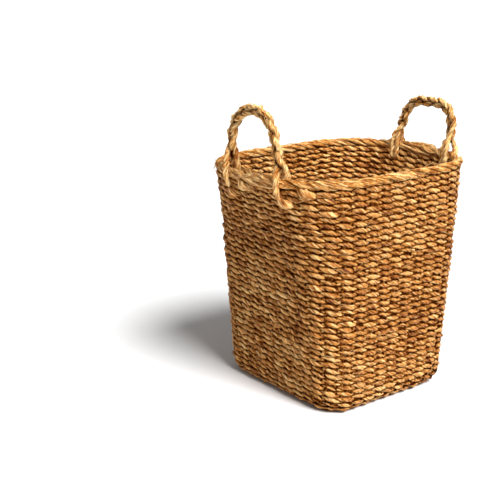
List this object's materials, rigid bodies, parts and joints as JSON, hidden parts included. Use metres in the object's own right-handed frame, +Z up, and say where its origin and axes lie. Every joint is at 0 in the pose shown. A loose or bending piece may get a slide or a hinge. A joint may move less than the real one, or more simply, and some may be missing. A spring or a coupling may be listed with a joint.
{
  "type": "woven laundry basket",
  "caption": "Tall open basket of twined seagrass on upright stakes, square base flaring to a long oval mouth, with a rope rim and two upright plaited loop handles.",
  "frame": {"origin": "middle of the underside, on the surface that the basket stands on", "axes": "+Z up; +Y towards the right handle and -Y towards the left handle, along the long axis of the mouth; +X towards the front face"},
  "size_m": [0.319, 0.4284, 0.5085],
  "materials": {
    "base_seagrass": "coarse twined seagrass, matt",
    "wall_seagrass": "twined seagrass courses, golden brown, matt with a slight sheen on the fibres",
    "stake_seagrass": "bundled stiff seagrass uprights, matt",
    "rim_seagrass": "thick seagrass rope, golden brown",
    "core_seagrass": "bundle of loose stalks, matt",
    "handle_seagrass": "three-strand plait of paler seagrass, matt",
    "strand_seagrass": "seagrass strands of the handle worked into the wall"
  },
  "bodies": {
    "basket": {"floor_patch": "base_seagrass", "floor_rounds": "base_seagrass", "foot_courses": "base_seagrass", "wall_weave_1": "wall_seagrass", "wall_weave_2": "wall_seagrass", "wall_weave_3": "wall_seagrass", "wall_weave_4": "wall_seagrass", "wall_weave_5": "wall_seagrass", "wall_weave_6": "wall_seagrass", "wall_weave_7": "wall_seagrass", "front_stakes": "stake_seagrass", "back_stakes": "stake_seagrass", "left_stakes": "stake_seagrass", "right_stakes": "stake_seagrass", "rim_rope": "rim_seagrass", "rim_core": "core_seagrass", "left_handle_front_root": "strand_seagrass", "left_handle_back_root": "strand_seagrass", "right_handle_front_root": "strand_seagrass", "right_handle_back_root": "strand_seagrass", "left_handle_front_tail": "strand_seagrass", "left_handle_back_tail": "strand_seagrass", "right_handle_front_tail": "strand_seagrass", "right_handle_back_tail": "strand_seagrass"},
    "left_handle": {"left_handle_plait": "handle_seagrass"},
    "right_handle": {"right_handle_plait": "handle_seagrass"}
  },
  "joints": [
    {"name": "left_handle_fold", "type": "hinge", "parent": "basket", "child": "left_handle", "pos_m": [0, -0.19626, 0.4171], "axis": [1, 0, 0], "range_deg": [-60, 75], "stiffness_Nm_per_rad": 0.05},
    {"name": "right_handle_fold", "type": "hinge", "parent": "basket", "child": "right_handle", "pos_m": [0, 0.19626, 0.4171], "axis": [-1, 0, 0], "range_deg": [-60, 75], "stiffness_Nm_per_rad": 0.05}
  ]
}
